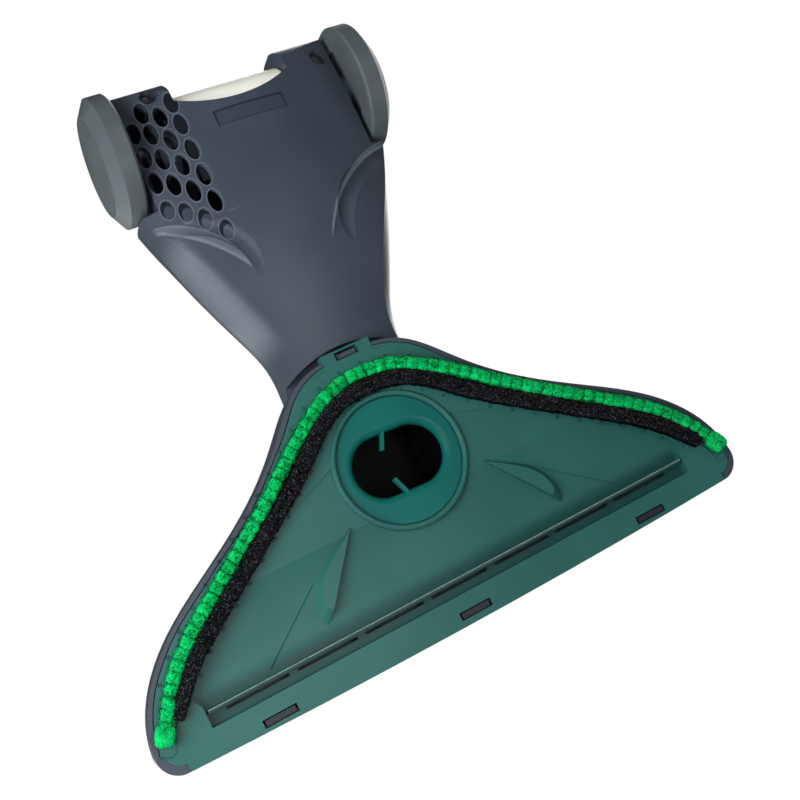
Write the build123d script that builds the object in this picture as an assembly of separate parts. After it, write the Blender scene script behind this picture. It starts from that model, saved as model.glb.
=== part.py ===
from build123d import *
import os

# Vacuum floor brush head, standing on its wheels and pile. Millimetres, +Z up.
# While it is modelled, the swivel axis of the wing is the Z axis, the floor is z = 0,
# the front edge lies at -Y and the wheels at +Y. The whole part is moved to its own
# origin, the bottom centre of its box, at the end.

# Clearances
run_gap = 0.3          # between pieces that turn against each other
pin_gap = 0.05         # axle pin in the wheel hub
seat_gap = 0.1         # pieces pressed or clipped together

# Wing, seen from above; its side runs from the rear middle out to the tip
wing_turn = -3.35      # how far the wing is swivelled in the rest pose, degrees
wing_rear = 48.5
wing_side = [(22, 45.3), (42.7, 26.9), (65, 8.0), (89.2, -6.9), (116.2, -25.3), (130.4, -43.5)]
wing_tip = (134.6, -58)
tip_bulge = (133.4, -64.2)
front_corner = (127, -68.6)
front_middle = -70.7
rim_width = 3.2
rim_bottom = 6.5
cover_wall = 2.5
crown_top = 24.0       # highest point of the wing cover
crown_middle = -5.0    # where along Y the crown is highest
crown_drop = 4.0       # fall of the crown from the middle to the tips
crown_radius = 600.0   # curve of the crown from front to rear

# Sole
sole_bottom = 6.0
sole_top = 11.5
lip_top = 9.0
lip_half = 125.3
lip_depth = 15.0
pan_step = 0.6
pan_depth = 3.6
pan_radius = 150.0
pan_middle = -47.0
pan_border = [(26, 9), (51.5, -0.8), (110, -38.5), (114, -46)]
trough_half = 111.4
trough_rear = -50.2
trough_front = -58.5
trough_floor = 10.0
slit_y = -54.6
slit_width = 1.2
slit_length = 26.4
slit_count = 7
slit_pitch = 30.0
window_length = 14.5
window_width = 3.2
window_y = -66.4
window_pitch = 87.0
fin_foot = [(30.4, -13.6), (42.4, -19.4), (53.6, -28.4), (56.8, -36), (57.2, -43.5), (55.6, -45.6)]
fin_top = [(31.6, -16), (40.6, -21.6), (50.4, -30.3), (52.8, -35.5), (52.9, -39), (51.2, -40.4)]
fin_bottom = 5.2
collar_outer = 28.6
collar_bulge = 0.9
tab_half = 11.0
tab_rear = 50.5
tab_front = 42.0
tab_window = (10.4, 4.2)
tab_window_y = 47.6

# Pile strips, from the rear middle out to the tips
green_line = [(0, 39.2), (16, 37), (37, 24.2), (54.2, 10.1), (89.2, -13.3), (106, -24.3), (118.5, -36),
              (128.6, -52.5)]
green_width = 5.6
green_bottom = 0.0
black_line = [(0, 32.3), (12, 31.4), (24.5, 25.6), (41.6, 10.6), (78, -13.6), (104.2, -32), (115.8, -45.2)]
black_width = 6.6
black_bottom = 0.8

# Wiper lip in the trough
lip_blade = 1.2
lip_blade_y = -52.6
lip_blade_bottom = 5.4

# Mouth plate and suction duct
disc_radius = 25.9
disc_bottom = 7.0
disc_top = 10.8
mouth_length = 39.0
mouth_width = 25.0
mouth_round = 3.0
mouth_fin = 9.0
mouth_fin_root = (1.2, 14.4)
mouth_fin_lean = 23.0
mouth_fin_wall = 1.4
spigot_radius = 22.0
spigot_wall = 2.0
seal_height = 1.0
flange_radius = 29.0
flange_height = 2.2
duct_width = 40.0
duct_height = 20.0
duct_wall = 2.0
duct_rear = 135.5
duct_front = -15.2
mouth_seal = 4.0       # length of the soft lip at the duct's rear end

# Neck, seen from above; its side runs from the front end back to the wheel shoulder
neck_wall = 2.5
neck_nose = 29.6
neck_side = [(29.2, 22, 1), (28.0, 44, 1), (28.8, 57, 1), (35.0, 74, 1), (43.9, 95, 0.9), (51.0, 115, 0.6)]
shoulder = (56.2, 131.0, 0.4)   # like the points of the side: x, y, share of the hull's pull
hull = [(0, 17), (13, 7), (28, 0), (44, 3), (68, 17)]   # height, how far the sides are pulled in there
cheek_half = 48.5
lug_rear = 186.0
lug_inner = 25.6
rear_dip = 165.2
dip_side = 172.2       # where the dip meets the lugs
belly_bottom = 5.0
belly_middle = 125.0
belly_cross = 112.0    # curve of the belly from side to side
belly_long = 300.0     # curve of the belly from front to rear
roof_top = 62.0
roof_middle = 110.0
roof_cross = 90.0
roof_long = 900.0
tail_middle = 159.0
tail_radius = 27.5
over_wing = 25.0       # underside of the neck above the wing
nose_end = 45.0        # where the belly takes over from the flat underside of the nose
wing_sweep = 53.0      # room that the turning wing needs behind it

# Honeycomb of vent holes on one side of the belly
cell_first = (45.3, 166.0)
cell_pitch = (6.1, 11.9)
cell_size = (5.5, 9.8)
cell_lean = 0.49
cell_bow = 0.0231
cell_bend = (163.0, 0.85)   # behind this line the rows lie closer by this share
cell_depth = 4.0
cell_floor = 1.0       # left between the cells and the connector's slot
pocket_row = 3.05
pocket_length = 8.4
pocket_depth = 1.2

# Crescent scoops in the flanks
scoop_centre = (47.5, 94.0)
scoop_major = 26.5
scoop_minor = 6.0
scoop_height = 9.9
scoop_lean = 15.0

# Bare recessed plate
plate_size = (30.8, 6.6)
plate_middle = (-2.2, 157.8)
plate_depth = 0.6

# Wheels
axle_y = 160.4
wheel_radius = 28.0
wheel_gap = 2.5        # between the cheek and the tyre
hub_gap = 0.7
wheel_inner = cheek_half + wheel_gap
tread_width = 7.6
bevel_width = 4.2
bevel_rise = 6.6
tyre_wall = 8.0
rim_wall = 2.5
axle_radius = 3.0
axle_inner = 37.0
hub_radius = 7.0
hub_inner = cheek_half + hub_gap
web_wall = 3.0
web_recess = 1.2
cap_dome = 1.2
clip_radius = 6.0
clip_wall = 1.0

# Connector
pivot_height = 33.0
slot_half = 25.0
slot_front = 138.0
barrel_radius = 20.0
barrel_wall = 2.5
stub_radius = 8.0
stub_length = 9.0
bush_wall = 3.0
bush_length = 7.5
socket_bore = 17.5
socket_wall = 3.0
socket_top = 102.0
socket_depth = 45.0
socket_foot = 38.0     # where the socket tube ends on the barrel
socket_seal_height = 2.5
socket_seal_groove = 1.0
socket_lip = 1.5       # step at the end of the bore
collar_height = 9.0
collar_wall = 2.2

# Screws that hold the neck halves together
screw_at = [(33.8, 178.4), (-42.2, 174.6)]
screw_well = 3.6
screw_head = 3.3
screw_shank = 1.6
screw_seat = 25.0
screw_tip = 42.0
screw_post = 5.6


def prism(face, low, high):
    return Pos(0, 0, low) * extrude(face, high - low)


def block(x0, x1, y0, y1, z0, z1):
    return Pos((x0 + x1) / 2, (y0 + y1) / 2, (z0 + z1) / 2) * Box(x1 - x0, y1 - y0, z1 - z0)


def rod_z(radius, low, high, x=0.0, y=0.0):
    return Pos(x, y, (low + high) / 2) * Cylinder(radius, high - low)


def rod_x(radius, x0, x1, y, z):
    return Pos((x0 + x1) / 2, y, z) * Rot(0, 90, 0) * Cylinder(radius, x1 - x0)


def mirrored(points):
    return [(-x, y) for x, y in reversed(points)]


def crowned(height, middle, half, drop, long_radius, upward):
    # A barrel about an axis along X; its crown passes through height at the middle.
    sign = 1 if upward else -1
    axis_z = height - sign * long_radius
    arc = ThreePointArc((-half, height - sign * drop), (0, height), (half, height - sign * drop))
    rest = Polyline((half, height - sign * drop), (half, axis_z), (-half, axis_z),
                    (-half, height - sign * drop))
    profile = Plane.XZ.offset(-middle) * make_face(arc + rest)
    return revolve(profile, Axis((0, middle, axis_z), (1, 0, 0)))


def inset_face(face, inset):
    # The face drawn smaller by the inset, with plain curves.
    edges = []
    for edge in offset(face, -inset).edges():
        points = [edge.position_at(step / 10) for step in range(11)]
        straight = (points[0] + points[-1]) / 2 - points[5]
        if straight.length < 0.001:
            edges.append(Line(points[0], points[-1]))
        else:
            edges.append(Spline(points, tangents=[edge.tangent_at(0), edge.tangent_at(1)]))
    return make_face(edges)


def wing_outline():
    side = [(0, wing_rear)] + wing_side + [wing_tip]
    rear = Spline(mirrored(side[1:]) + side)
    tips = [ThreePointArc((s * wing_tip[0], wing_tip[1]), (s * tip_bulge[0], tip_bulge[1]),
                          (s * front_corner[0], front_corner[1])) for s in (1, -1)]
    front = ThreePointArc(front_corner, (0, front_middle), (-front_corner[0], front_corner[1]))
    return make_face([rear, front] + tips)


def band(line, width, low, high):
    # A strip of even width along a mirrored line, between two heights.
    points = mirrored(line[1:]) + line
    middle = Spline(points)
    steps = [i / (len(points) - 1) for i in range(len(points))]
    sides = []
    for offset_by in (width / 2, -width / 2):
        edge = []
        for t in steps:
            tangent = middle.tangent_at(t)
            edge.append(middle.position_at(t) + Vector(-tangent.Y, tangent.X) * offset_by)
        sides.append(edge)
    ends = [Line(sides[0][0], sides[1][0]), Line(sides[0][-1], sides[1][-1])]
    return prism(make_face([Spline(sides[0]), Spline(sides[1])] + ends), low, high)


# Wing cover
outline = wing_outline()
inner_outline = inset_face(outline, rim_width)
half_span = wing_tip[0]
wing_cover = prism(outline, rim_bottom, crown_top + 1)
wing_cover &= crowned(crown_top, crown_middle, half_span + 10, crown_drop, crown_radius, True)
cover_room = prism(inner_outline, 0, crown_top)
cover_room &= crowned(crown_top - cover_wall, crown_middle, half_span + 10, crown_drop, crown_radius, True)
wing_cover -= cover_room
wing_cover -= block(-lip_half - seat_gap, lip_half + seat_gap, front_middle - 1, front_middle + lip_depth,
                    0, lip_top + seat_gap)
wing_cover -= block(-tab_half - seat_gap, tab_half + seat_gap, tab_front, tab_rear + 1, 0, sole_top)
flange_low = disc_top + seal_height
wing_cover += rod_z(spigot_radius + run_gap + cover_wall, flange_low + flange_height + run_gap,
                    crown_top - cover_wall)
wing_cover -= rod_z(spigot_radius + run_gap, 0, crown_top + 1)
hook_wall = window_width - 1.0
for hook_x in (-window_pitch, 0, window_pitch):
    wing_cover += block(hook_x - window_length / 2 + 1, hook_x + window_length / 2 - 1,
                        window_y - hook_wall / 2, window_y + hook_wall / 2, rim_bottom, lip_top + cover_wall)
wing_cover += block(-tab_window[0] / 2 + 1, tab_window[0] / 2 - 1, tab_window_y - hook_wall / 2,
                    tab_window_y + hook_wall / 2, rim_bottom + 1, sole_top + cover_wall)

# Sole plate
sole_face = inset_face(outline, rim_width + seat_gap)
sole_plate = prism(sole_face, sole_bottom, sole_top)
sole_plate += prism(outline, sole_bottom, lip_top) & block(
    -lip_half, lip_half, front_middle - 1, front_middle + lip_depth, 0, lip_top)
pan_points = pan_border + [(trough_half, trough_rear)]
pan_face = make_face(Polyline(pan_points + mirrored(pan_points), close=True))
pan = prism(pan_face, 0, sole_bottom + pan_depth)
dish = rod_x(pan_radius, -half_span, half_span, pan_middle, sole_bottom + pan_depth - pan_radius)
sole_plate -= pan & (dish + block(-half_span, half_span, trough_rear, wing_rear, 0, sole_bottom + pan_step))
sole_plate -= block(-trough_half, trough_half, trough_front, trough_rear, 0, trough_floor)
for slit in range(slit_count):
    slit_x = (slit - (slit_count - 1) / 2) * slit_pitch
    sole_plate -= block(slit_x - slit_length / 2, slit_x + slit_length / 2, slit_y - slit_width / 2,
                        slit_y + slit_width / 2, 0, sole_top + 1)
for side in (1, -1):
    sections = []
    for edge, height in ((fin_foot, trough_floor), (fin_top, fin_bottom)):
        leaf = [(side * x, y) for x, y in edge]
        sections.append(Pos(0, 0, height) * make_face([Spline(leaf), Line(leaf[-1], leaf[0])]))
    sole_plate += loft(sections, ruled=True)
collar_inner = disc_radius + run_gap
collar_profile = make_face([
    ThreePointArc((collar_inner, sole_bottom), ((collar_inner + collar_outer) / 2, sole_bottom - collar_bulge),
                  (collar_outer, sole_bottom)),
    Polyline((collar_outer, sole_bottom), (collar_outer, sole_top), (collar_inner, sole_top),
             (collar_inner, sole_bottom))])
sole_plate += revolve(Plane.XZ * collar_profile, Axis.Z)
sole_plate -= rod_z(collar_inner, 0, sole_top + 1)
sole_plate += block(-tab_half, tab_half, tab_front, tab_rear, sole_bottom, sole_top - seat_gap)
sole_plate -= Pos(0, tab_window_y, sole_top) * Box(tab_window[0], tab_window[1], 4 * sole_top)
for window_x in (-window_pitch, 0, window_pitch):
    sole_plate -= Pos(window_x, window_y, sole_top) * Box(window_length, window_width, 4 * sole_top)

# Pile strips and wiper lip
green_pile_strip = band(green_line, green_width, green_bottom, sole_bottom)
black_pile_strip = band(black_line, black_width, black_bottom, sole_bottom)
wiper_lip = block(-trough_half + 1, trough_half - 1, lip_blade_y - lip_blade / 2, lip_blade_y + lip_blade / 2,
                  lip_blade_bottom, trough_floor)

# Mouth plate, with the oval inlet and its two fins
inlet_wide = SlotOverall(mouth_length, mouth_width)
mouth_plate = rod_z(disc_radius, disc_bottom, disc_top)
mouth_plate -= prism(inlet_wide, disc_bottom - 1, disc_top + 1)
inlet_edges = mouth_plate.edges().group_by(Axis.Z)[0].filter_by(lambda e: e.length < 2 * disc_radius)
mouth_plate = fillet(inlet_edges, mouth_round)
for side in (1, -1):
    fin = block(-mouth_fin_wall / 2, mouth_fin_wall / 2, -mouth_fin, 0, disc_bottom + 1, disc_top)
    fin = Pos(*mouth_fin_root) * Rot(0, 0, mouth_fin_lean) * fin
    mouth_plate += fin if side == 1 else mirror(fin, Plane.XZ)

# Suction duct with its turning spigot, and its seals
spigot_seal = rod_z(disc_radius - 1, disc_top, flange_low)
spigot_seal -= rod_z(spigot_radius - spigot_wall, disc_top - 1, flange_low + 1)
duct_middle = over_wing + neck_wall + duct_height / 2
duct_outer = RectangleRounded(duct_width, duct_height, duct_height / 2 - 1)
duct_inner = RectangleRounded(duct_width - 2 * duct_wall, duct_height - 2 * duct_wall,
                              duct_height / 2 - 1 - duct_wall)
duct_plane = Plane((0, duct_front, duct_middle), x_dir=(1, 0, 0), z_dir=(0, 1, 0))
duct_body = extrude(duct_plane * duct_outer, duct_rear - duct_front)
duct_bore = extrude(duct_plane.offset(duct_wall) * duct_inner, duct_rear - duct_front)
suction_duct = rod_z(flange_radius, flange_low, flange_low + flange_height)
suction_duct += rod_z(spigot_radius, flange_low, duct_middle)
suction_duct += duct_body
suction_duct -= rod_z(spigot_radius - spigot_wall, 0, duct_middle) - block(
    -99, 99, -99, duct_front + duct_wall, 0, duct_middle)
suction_duct -= duct_bore
seal_plane = Plane((0, duct_rear, duct_middle), x_dir=(1, 0, 0), z_dir=(0, 1, 0))
duct_seal = extrude(seal_plane * duct_outer, mouth_seal) - extrude(seal_plane * duct_inner, mouth_seal)
barrel_room = rod_x(barrel_radius + run_gap, -slot_half, slot_half, axle_y, pivot_height)
duct_seal -= barrel_room


def neck_outline(height, pull, wall):
    # Plan of the neck at one height, with its sides pulled in and drawn smaller by the wall.
    side = [(neck_nose - pull - wall, 0)]
    side += [(x - share * pull - wall, y) for x, y, share in neck_side]
    side.append((shoulder[0] - shoulder[2] * pull - wall, shoulder[1] - wall))
    tail = [side[-1], (cheek_half - wall, shoulder[1] - wall), (cheek_half - wall, lug_rear - wall),
            (lug_inner + wall, lug_rear - wall), (lug_inner + wall, dip_side - wall)]
    nose = ThreePointArc((-side[0][0], 0), (0, -side[0][0]), side[0])
    other = [(-x, y) for x, y in tail]
    dip = ThreePointArc(tail[-1], (0, rear_dip - wall), other[-1])
    edges = [nose, Spline(side), Polyline(*tail), dip, Polyline(*other), Spline(mirrored(side))]
    return Pos(0, 0, height) * make_face(edges)


def belly_form(inset):
    # The belly, roof and tail of the neck, without its sides.
    half = shoulder[0] + 5
    belly_drop = belly_cross - (belly_cross ** 2 - half ** 2) ** 0.5
    roof_drop = roof_cross - (roof_cross ** 2 - half ** 2) ** 0.5
    form = crowned(belly_bottom + inset, belly_middle, half, belly_drop, belly_long - inset, False)
    form += block(-half, half, -neck_nose - 5, nose_end, over_wing - neck_wall + inset, roof_top + 5)
    form &= crowned(roof_top - inset, roof_middle, half, roof_drop, roof_long - inset, True)
    tail = rod_x(tail_radius - inset, -half, half, tail_middle, pivot_height)
    tail += block(-half, half, -neck_nose - 5, tail_middle, 0, roof_top + 5)
    return form & tail


def neck_form(inset):
    # The neck's outer form, or its room when inset is the wall.
    return loft([neck_outline(height, pull, inset) for height, pull in hull]) & belly_form(inset)


# Neck halves: the shell is cut at the pivot height, then ribs are added and openings cut
neck_outer = neck_form(0)
neck_lining = neck_form(neck_wall / 2)
room = neck_form(neck_wall)
slot_wall = slot_half + neck_wall
room -= block(-slot_wall, slot_wall, slot_front - neck_wall, lug_rear + 5, 0, roof_top)
room -= rod_z(wing_sweep + neck_wall, 0, over_wing + neck_wall)
slot_low = pivot_height - barrel_radius - 2 * run_gap
bush_end = slot_half + stub_length + 1
ribs = []
openings = [rod_z(wing_sweep, 0, over_wing),
            block(-slot_half, slot_half, slot_front, lug_rear + 5, slot_low, roof_top + 5),
            rod_z(spigot_radius + seat_gap, 0, over_wing + neck_wall + 1)]
duct_hole = RectangleRounded(duct_width + 2 * seat_gap, duct_height + 2 * seat_gap, duct_height / 2 - 1)
hole_plane = Plane((0, slot_front - neck_wall - 1, duct_middle), x_dir=(1, 0, 0), z_dir=(0, 1, 0))
openings.append(extrude(hole_plane * duct_hole, neck_wall + 2))
for side in (1, -1):
    boss = sorted((side * (axle_inner - 1), side * (cheek_half - 1)))
    bush_seat = sorted((side * (slot_half + 1), side * (bush_end + neck_wall)))
    bush_hole = sorted((side * (slot_half - 1), side * bush_end))
    pin_hole = sorted((side * axle_inner, side * (cheek_half + 5)))
    ribs.append(rod_x(hub_radius, *boss, axle_y, wheel_radius))
    ribs.append(rod_x(stub_radius + bush_wall + neck_wall, *bush_seat, axle_y, pivot_height))
    openings.append(rod_x(stub_radius + bush_wall, *bush_hole, axle_y, pivot_height))
    openings.append(rod_x(axle_radius, *pin_hole, axle_y, wheel_radius))
for screw in screw_at:
    ribs.append(rod_z(screw_post, screw_seat - 6, screw_tip + 3, *screw) & neck_lining)
    openings.append(rod_z(screw_well, 0, screw_seat, *screw))
    openings.append(rod_z(screw_shank, screw_seat - 1, screw_tip, *screw))

# Crescent scoops, bare plate and honeycomb in the belly
scoop_place = Pos(scoop_centre[0], scoop_centre[1], scoop_height)
scoop = scoop_place * Rot(0, -scoop_lean, 0) * Torus(scoop_major, scoop_minor)
openings.extend((scoop, mirror(scoop, Plane.YZ)))
plate = Pos(plate_middle[0], plate_middle[1], 0) * Rectangle(*plate_size)
openings.append(prism(plate, 0, belly_bottom + 8) - belly_form(plate_depth))


def belly_height(x, y):
    belly = belly_bottom + x ** 2 / (2 * belly_cross) + (y - belly_middle) ** 2 / (2 * belly_long)
    tail = pivot_height - (tail_radius ** 2 - max(y - tail_middle, 0) ** 2) ** 0.5
    return max(belly, tail)


def neck_half(low, high):
    layer = block(-200, 200, -200, 300, low, high)
    half = (neck_outer & layer) - room
    for rib in ribs:
        half += rib & layer
    for opening in openings:
        half -= opening
    return half


cell = Ellipse(cell_size[0] / 2, cell_size[1] / 2)
pocket = Ellipse(cell_size[0] / 2, pocket_length / 2)
cells = []
for column in range(4):
    reach = column * cell_pitch[0]
    drop = cell_lean * reach + cell_bow * reach ** 2
    cell_x = cell_first[0] - reach
    for row in range(-((column + 1) // 2), 3):
        cell_y = cell_first[1] - drop - row * cell_pitch[1]
        cell_y -= (1 - cell_bend[1]) * max(cell_y - cell_bend[0], 0)
        cell_roof = belly_height(cell_x, cell_y) + cell_depth
        if cell_x - cell_size[0] < slot_wall:
            cell_roof = min(cell_roof, slot_low - cell_floor)
        cells.append(prism(Pos(cell_x, cell_y, 0) * cell, 0, cell_roof))
    pocket_y = cell_first[1] - drop - pocket_row * cell_pitch[1]
    cells.append(prism(Pos(cell_x, pocket_y, 0) * pocket, 0, belly_height(cell_x, pocket_y) + pocket_depth))
neck_base = neck_half(0, pivot_height)
neck_base -= cells
neck_cover = neck_half(pivot_height, roof_top + 5)

# Screws and pivot bushes
neck_screws = Part()
for screw in screw_at:
    neck_screws += rod_z(screw_head, screw_seat - 2.4, screw_seat, *screw)
    neck_screws += rod_z(screw_shank, screw_seat, screw_tip - 1, *screw)


def pivot_bush(side):
    ends = sorted((side * (slot_half + run_gap), side * (slot_half + run_gap + bush_length)))
    ring = rod_x(stub_radius + bush_wall, *ends, axle_y, pivot_height)
    return ring - rod_x(stub_radius + pin_gap, *ends, axle_y, pivot_height)


# Connector: the barrel that tilts on its stubs, and the hose socket on top of it
barrel_half = slot_half - run_gap
socket_floor = socket_top - socket_depth
barrel = rod_x(barrel_radius, -barrel_half, barrel_half, axle_y, pivot_height)
throat = rod_z(socket_bore - socket_lip, pivot_height, socket_top + 1, 0, axle_y)
stub_end = barrel_half + stub_length
connector_barrel = barrel + rod_x(stub_radius, -stub_end, stub_end, axle_y, pivot_height)
connector_barrel -= rod_x(barrel_radius - barrel_wall, -barrel_half + barrel_wall, barrel_half - barrel_wall,
                          axle_y, pivot_height)
connector_barrel -= throat
connector_barrel -= block(-duct_width / 2 + 3, duct_width / 2 - 3, axle_y - barrel_radius - 5, axle_y,
                          pivot_height - 4, pivot_height + barrel_radius - 6)
socket_tube = rod_z(socket_bore + socket_wall, socket_foot, socket_top, 0, axle_y)
socket_tube += rod_z(socket_bore + socket_wall + collar_wall, socket_top - collar_height, socket_top,
                     0, axle_y)
socket_tube -= barrel
socket_tube -= throat
socket_tube -= rod_z(socket_bore, socket_floor, socket_top + 1, 0, axle_y)
socket_groove = rod_z(socket_bore + socket_seal_groove, socket_floor - socket_seal_height, socket_floor,
                      0, axle_y)
socket_tube -= socket_groove
socket_seal = socket_groove - throat


# Wheels, each with its tyre, rim, cap, axle pin and clip
def wheel_ring(profile, side):
    # A ring turned about the axle, drawn as distance out from the middle and radius.
    face = Plane.XZ * make_face(Polyline([(side * x, r) for x, r in profile], close=True))
    return Pos(0, axle_y, wheel_radius) * revolve(face, Axis.X)


def wheel_tyre(side):
    outer = wheel_inner + tread_width
    bore = wheel_radius - tyre_wall
    return wheel_ring([(wheel_inner, bore), (wheel_inner, wheel_radius - 1), (wheel_inner + 1, wheel_radius),
                       (outer, wheel_radius), (outer + bevel_width, wheel_radius - bevel_rise),
                       (outer + bevel_width, bore)], side)


def wheel_rim(side):
    outer = wheel_inner + tread_width
    bore = axle_radius + pin_gap
    rim = wheel_radius - tyre_wall
    web = wheel_inner + web_recess
    return wheel_ring([(hub_inner, bore), (hub_inner, hub_radius), (web, hub_radius), (web, rim - rim_wall),
                       (wheel_inner, rim - rim_wall), (wheel_inner, rim), (outer, rim), (outer, rim - rim_wall),
                       (web + web_wall, rim - rim_wall), (web + web_wall, hub_radius), (outer, hub_radius),
                       (outer, bore)], side)


def hub_cap(side):
    outer = wheel_inner + tread_width
    rim = wheel_radius - tyre_wall
    face = outer + bevel_width
    inside = clip_radius + 2
    edge = rim - seat_gap
    ball = (edge ** 2 + cap_dome ** 2) / (2 * cap_dome)
    halfway = face + cap_dome - ball + (ball ** 2 - edge ** 2 / 4) ** 0.5
    arc = ThreePointArc((side * face, edge), (side * halfway, edge / 2), (side * (face + cap_dome), 0))
    rest = Polyline((side * (face + cap_dome), 0), (side * (face - 1), 0), (side * (face - 1), inside),
                    (side * outer, inside), (side * outer, edge), (side * face, edge))
    return Pos(0, axle_y, wheel_radius) * revolve(Plane.XZ * make_face(arc + rest), Axis.X)


def axle_pin(side):
    ends = sorted((side * axle_inner, side * (wheel_inner + tread_width + clip_wall + 0.5)))
    return rod_x(axle_radius, *ends, axle_y, wheel_radius)


def axle_clip(side):
    start = wheel_inner + tread_width + 0.3
    ends = sorted((side * start, side * (start + clip_wall)))
    return rod_x(clip_radius, *ends, axle_y, wheel_radius) - rod_x(axle_radius, *ends, axle_y, wheel_radius)


# Every node, the wing ones turned by the swivel of the rest pose
wing_nodes = {"wing_cover": wing_cover, "sole_plate": sole_plate, "green_pile_strip": green_pile_strip,
              "black_pile_strip": black_pile_strip, "wiper_lip": wiper_lip}
nodes = {"neck_base": neck_base, "neck_cover": neck_cover, "suction_duct": suction_duct,
         "mouth_plate": mouth_plate, "spigot_seal": spigot_seal, "duct_seal": duct_seal,
         "neck_screws": neck_screws, "connector_barrel": connector_barrel, "socket_tube": socket_tube,
         "socket_seal": socket_seal}
for name, solid in wing_nodes.items():
    nodes[name] = Rot(0, 0, wing_turn) * solid
for name, side in (("left", 1), ("right", -1)):
    nodes[name + "_wheel_tyre"] = wheel_tyre(side)
    nodes[name + "_wheel_rim"] = wheel_rim(side)
    nodes[name + "_hub_cap"] = hub_cap(side)
    nodes[name + "_axle_pin"] = axle_pin(side)
    nodes[name + "_axle_clip"] = axle_clip(side)
    nodes[name + "_pivot_bush"] = pivot_bush(side)

boxes = [solid.bounding_box() for solid in nodes.values()]
x_ends = [end for box in boxes for end in (box.min.X, box.max.X)]
y_ends = [end for box in boxes for end in (box.min.Y, box.max.Y)]
floor = min(box.min.Z for box in boxes)
shift = Vector(-(min(x_ends) + max(x_ends)) / 2, -(min(y_ends) + max(y_ends)) / 2, -floor)
os.makedirs("parts", exist_ok=True)
for name, solid in nodes.items():
    export_step(Pos(shift) * solid, f"parts/{name}.step")
print("moved by", [round(value, 3) for value in shift])
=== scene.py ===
import bpy
import math
import random
from functools import reduce
from mathutils import Matrix, Vector


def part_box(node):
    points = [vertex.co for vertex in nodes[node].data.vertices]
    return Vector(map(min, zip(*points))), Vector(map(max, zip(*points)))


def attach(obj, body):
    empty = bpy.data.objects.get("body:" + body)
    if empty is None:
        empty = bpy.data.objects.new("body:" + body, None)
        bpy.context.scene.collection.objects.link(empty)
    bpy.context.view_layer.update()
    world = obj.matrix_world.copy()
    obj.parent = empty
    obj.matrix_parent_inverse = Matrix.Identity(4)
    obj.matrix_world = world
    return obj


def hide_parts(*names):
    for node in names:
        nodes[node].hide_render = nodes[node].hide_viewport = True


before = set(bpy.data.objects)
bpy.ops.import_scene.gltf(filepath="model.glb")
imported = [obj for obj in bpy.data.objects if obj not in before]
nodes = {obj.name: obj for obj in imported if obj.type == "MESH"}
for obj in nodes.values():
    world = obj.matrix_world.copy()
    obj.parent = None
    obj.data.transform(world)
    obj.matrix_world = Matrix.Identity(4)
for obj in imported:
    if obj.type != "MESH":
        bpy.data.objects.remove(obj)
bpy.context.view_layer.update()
mm = 0.001
fibreSeed = 41
rng = random.Random(fibreSeed)
bpy.ops.object.select_all(action="DESELECT")

# the swivel axis stands in the middle of the mouth plate, and the photo's measures start there
mouthLow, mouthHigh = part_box("mouth_plate")
swivel = Vector(((mouthLow[0] + mouthHigh[0]) / 2, (mouthLow[1] + mouthHigh[1]) / 2, 0))
wingTurn = math.radians(-3.35)   # how far the wing is turned at rest
print("frame loaded,", len(nodes), "nodes, swivel at", tuple(round(v, 4) for v in swivel))


def onWing(x, y, z=0.0):
    # millimetres on the straight wing to metres in the frame
    turned = Matrix.Rotation(wingTurn, 3, "Z") @ Vector((x, y, z))
    return turned * mm + swivel


def onNeck(x, y, z):
    # millimetres on the neck to metres in the frame
    return Vector((x, y, z)) * mm + swivel


def addObject(name, data):
    made = bpy.data.objects.new(name, data)
    bpy.context.scene.collection.objects.link(made)
    return made


cameraSet = {
    "place": (158.54, -32.51, -486.99),
    "right": (-0.8794, -0.4014, -0.2561),
    "up": (-0.3511, 0.9100, -0.2206),
    "lens": 58.5, "sensor": 36.0, "nearest": 0.01,
}


def addCamera(settings):
    data = bpy.data.cameras.new("photoCamera")
    data.lens = settings["lens"]
    data.sensor_width = settings["sensor"]
    data.clip_start = settings["nearest"]
    camera = addObject("photoCamera", data)
    right = Vector(settings["right"]).normalized()
    up = Vector(settings["up"])
    up = (up - right * up.dot(right)).normalized()
    turn = Matrix((right, up, right.cross(up))).transposed().to_4x4()
    camera.matrix_world = Matrix.Translation(onNeck(*settings["place"])) @ turn
    bpy.context.scene.camera = camera
    print("camera set")


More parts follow.
